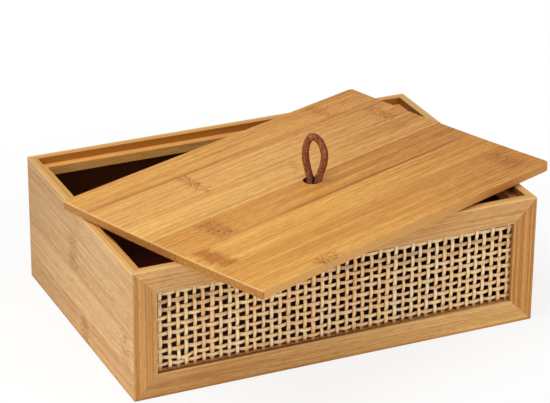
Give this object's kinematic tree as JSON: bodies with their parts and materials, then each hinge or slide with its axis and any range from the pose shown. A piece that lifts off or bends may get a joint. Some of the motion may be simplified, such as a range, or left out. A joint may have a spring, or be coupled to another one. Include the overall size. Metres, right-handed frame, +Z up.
{
  "type": "keepsake box",
  "caption": "Low rectangular bamboo box for papers and keepsakes, with a mitred front frame round cane webbing and a loose inset lid that lies askew on the rim and lifts by a leather loop.",
  "frame": {"origin": "middle of the box's base, on the surface that it stands on", "axes": "+X to the right along the front, +Y from the cane front to the back wall, +Z up"},
  "size_m": [0.3014, 0.2523, 0.1228],
  "materials": {
    "bamboo_walls": "satin clear lacquer on edge-glued bamboo strips",
    "bamboo_rails": "satin clear lacquer, grain along the rail",
    "bamboo_stiles": "satin clear lacquer, grain upright, a little redder than the rails",
    "bamboo_bottom": "dark red-brown stain on bamboo ply",
    "bamboo_beads": "plain sanded bamboo strip",
    "bamboo_lid": "satin clear lacquer on edge-glued bamboo strips",
    "cane": "natural split cane, smooth skin outwards",
    "pull_leather": "red-brown round leather cord, matt",
    "pin_steel": "bright headless pins"
  },
  "bodies": {
    "box": {"left_wall": "bamboo_walls", "right_wall": "bamboo_walls", "back_wall": "bamboo_walls", "front_top_rail": "bamboo_rails", "front_bottom_rail": "bamboo_rails", "front_left_stile": "bamboo_stiles", "front_right_stile": "bamboo_stiles", "bottom_panel": "bamboo_bottom", "bottom_pins": "pin_steel", "cane_webbing": "cane", "cane_bead_top": "bamboo_beads", "cane_bead_bottom": "bamboo_beads", "cane_bead_left": "bamboo_beads", "cane_bead_right": "bamboo_beads", "bead_pins": "pin_steel", "lid_rest_front": "bamboo_beads", "lid_rest_back": "bamboo_beads", "lid_rest_left": "bamboo_beads", "lid_rest_right": "bamboo_beads"},
    "pull": {"pull_loop": "pull_leather", "pull_knot": "pull_leather"},
    "lid": {"lid_panel": "bamboo_lid"}
  },
  "joints": [
    {"name": "lid_lift", "type": "slide", "parent": "box", "child": "pull", "axis": [0, 0, 1], "range_m": [0, 0.12]},
    {"name": "lid_turn", "type": "hinge", "parent": "pull", "child": "lid", "pos_m": [0.01153, -0.0258, 0.085], "axis": [0, 0, 1], "continuous": true}
  ]
}
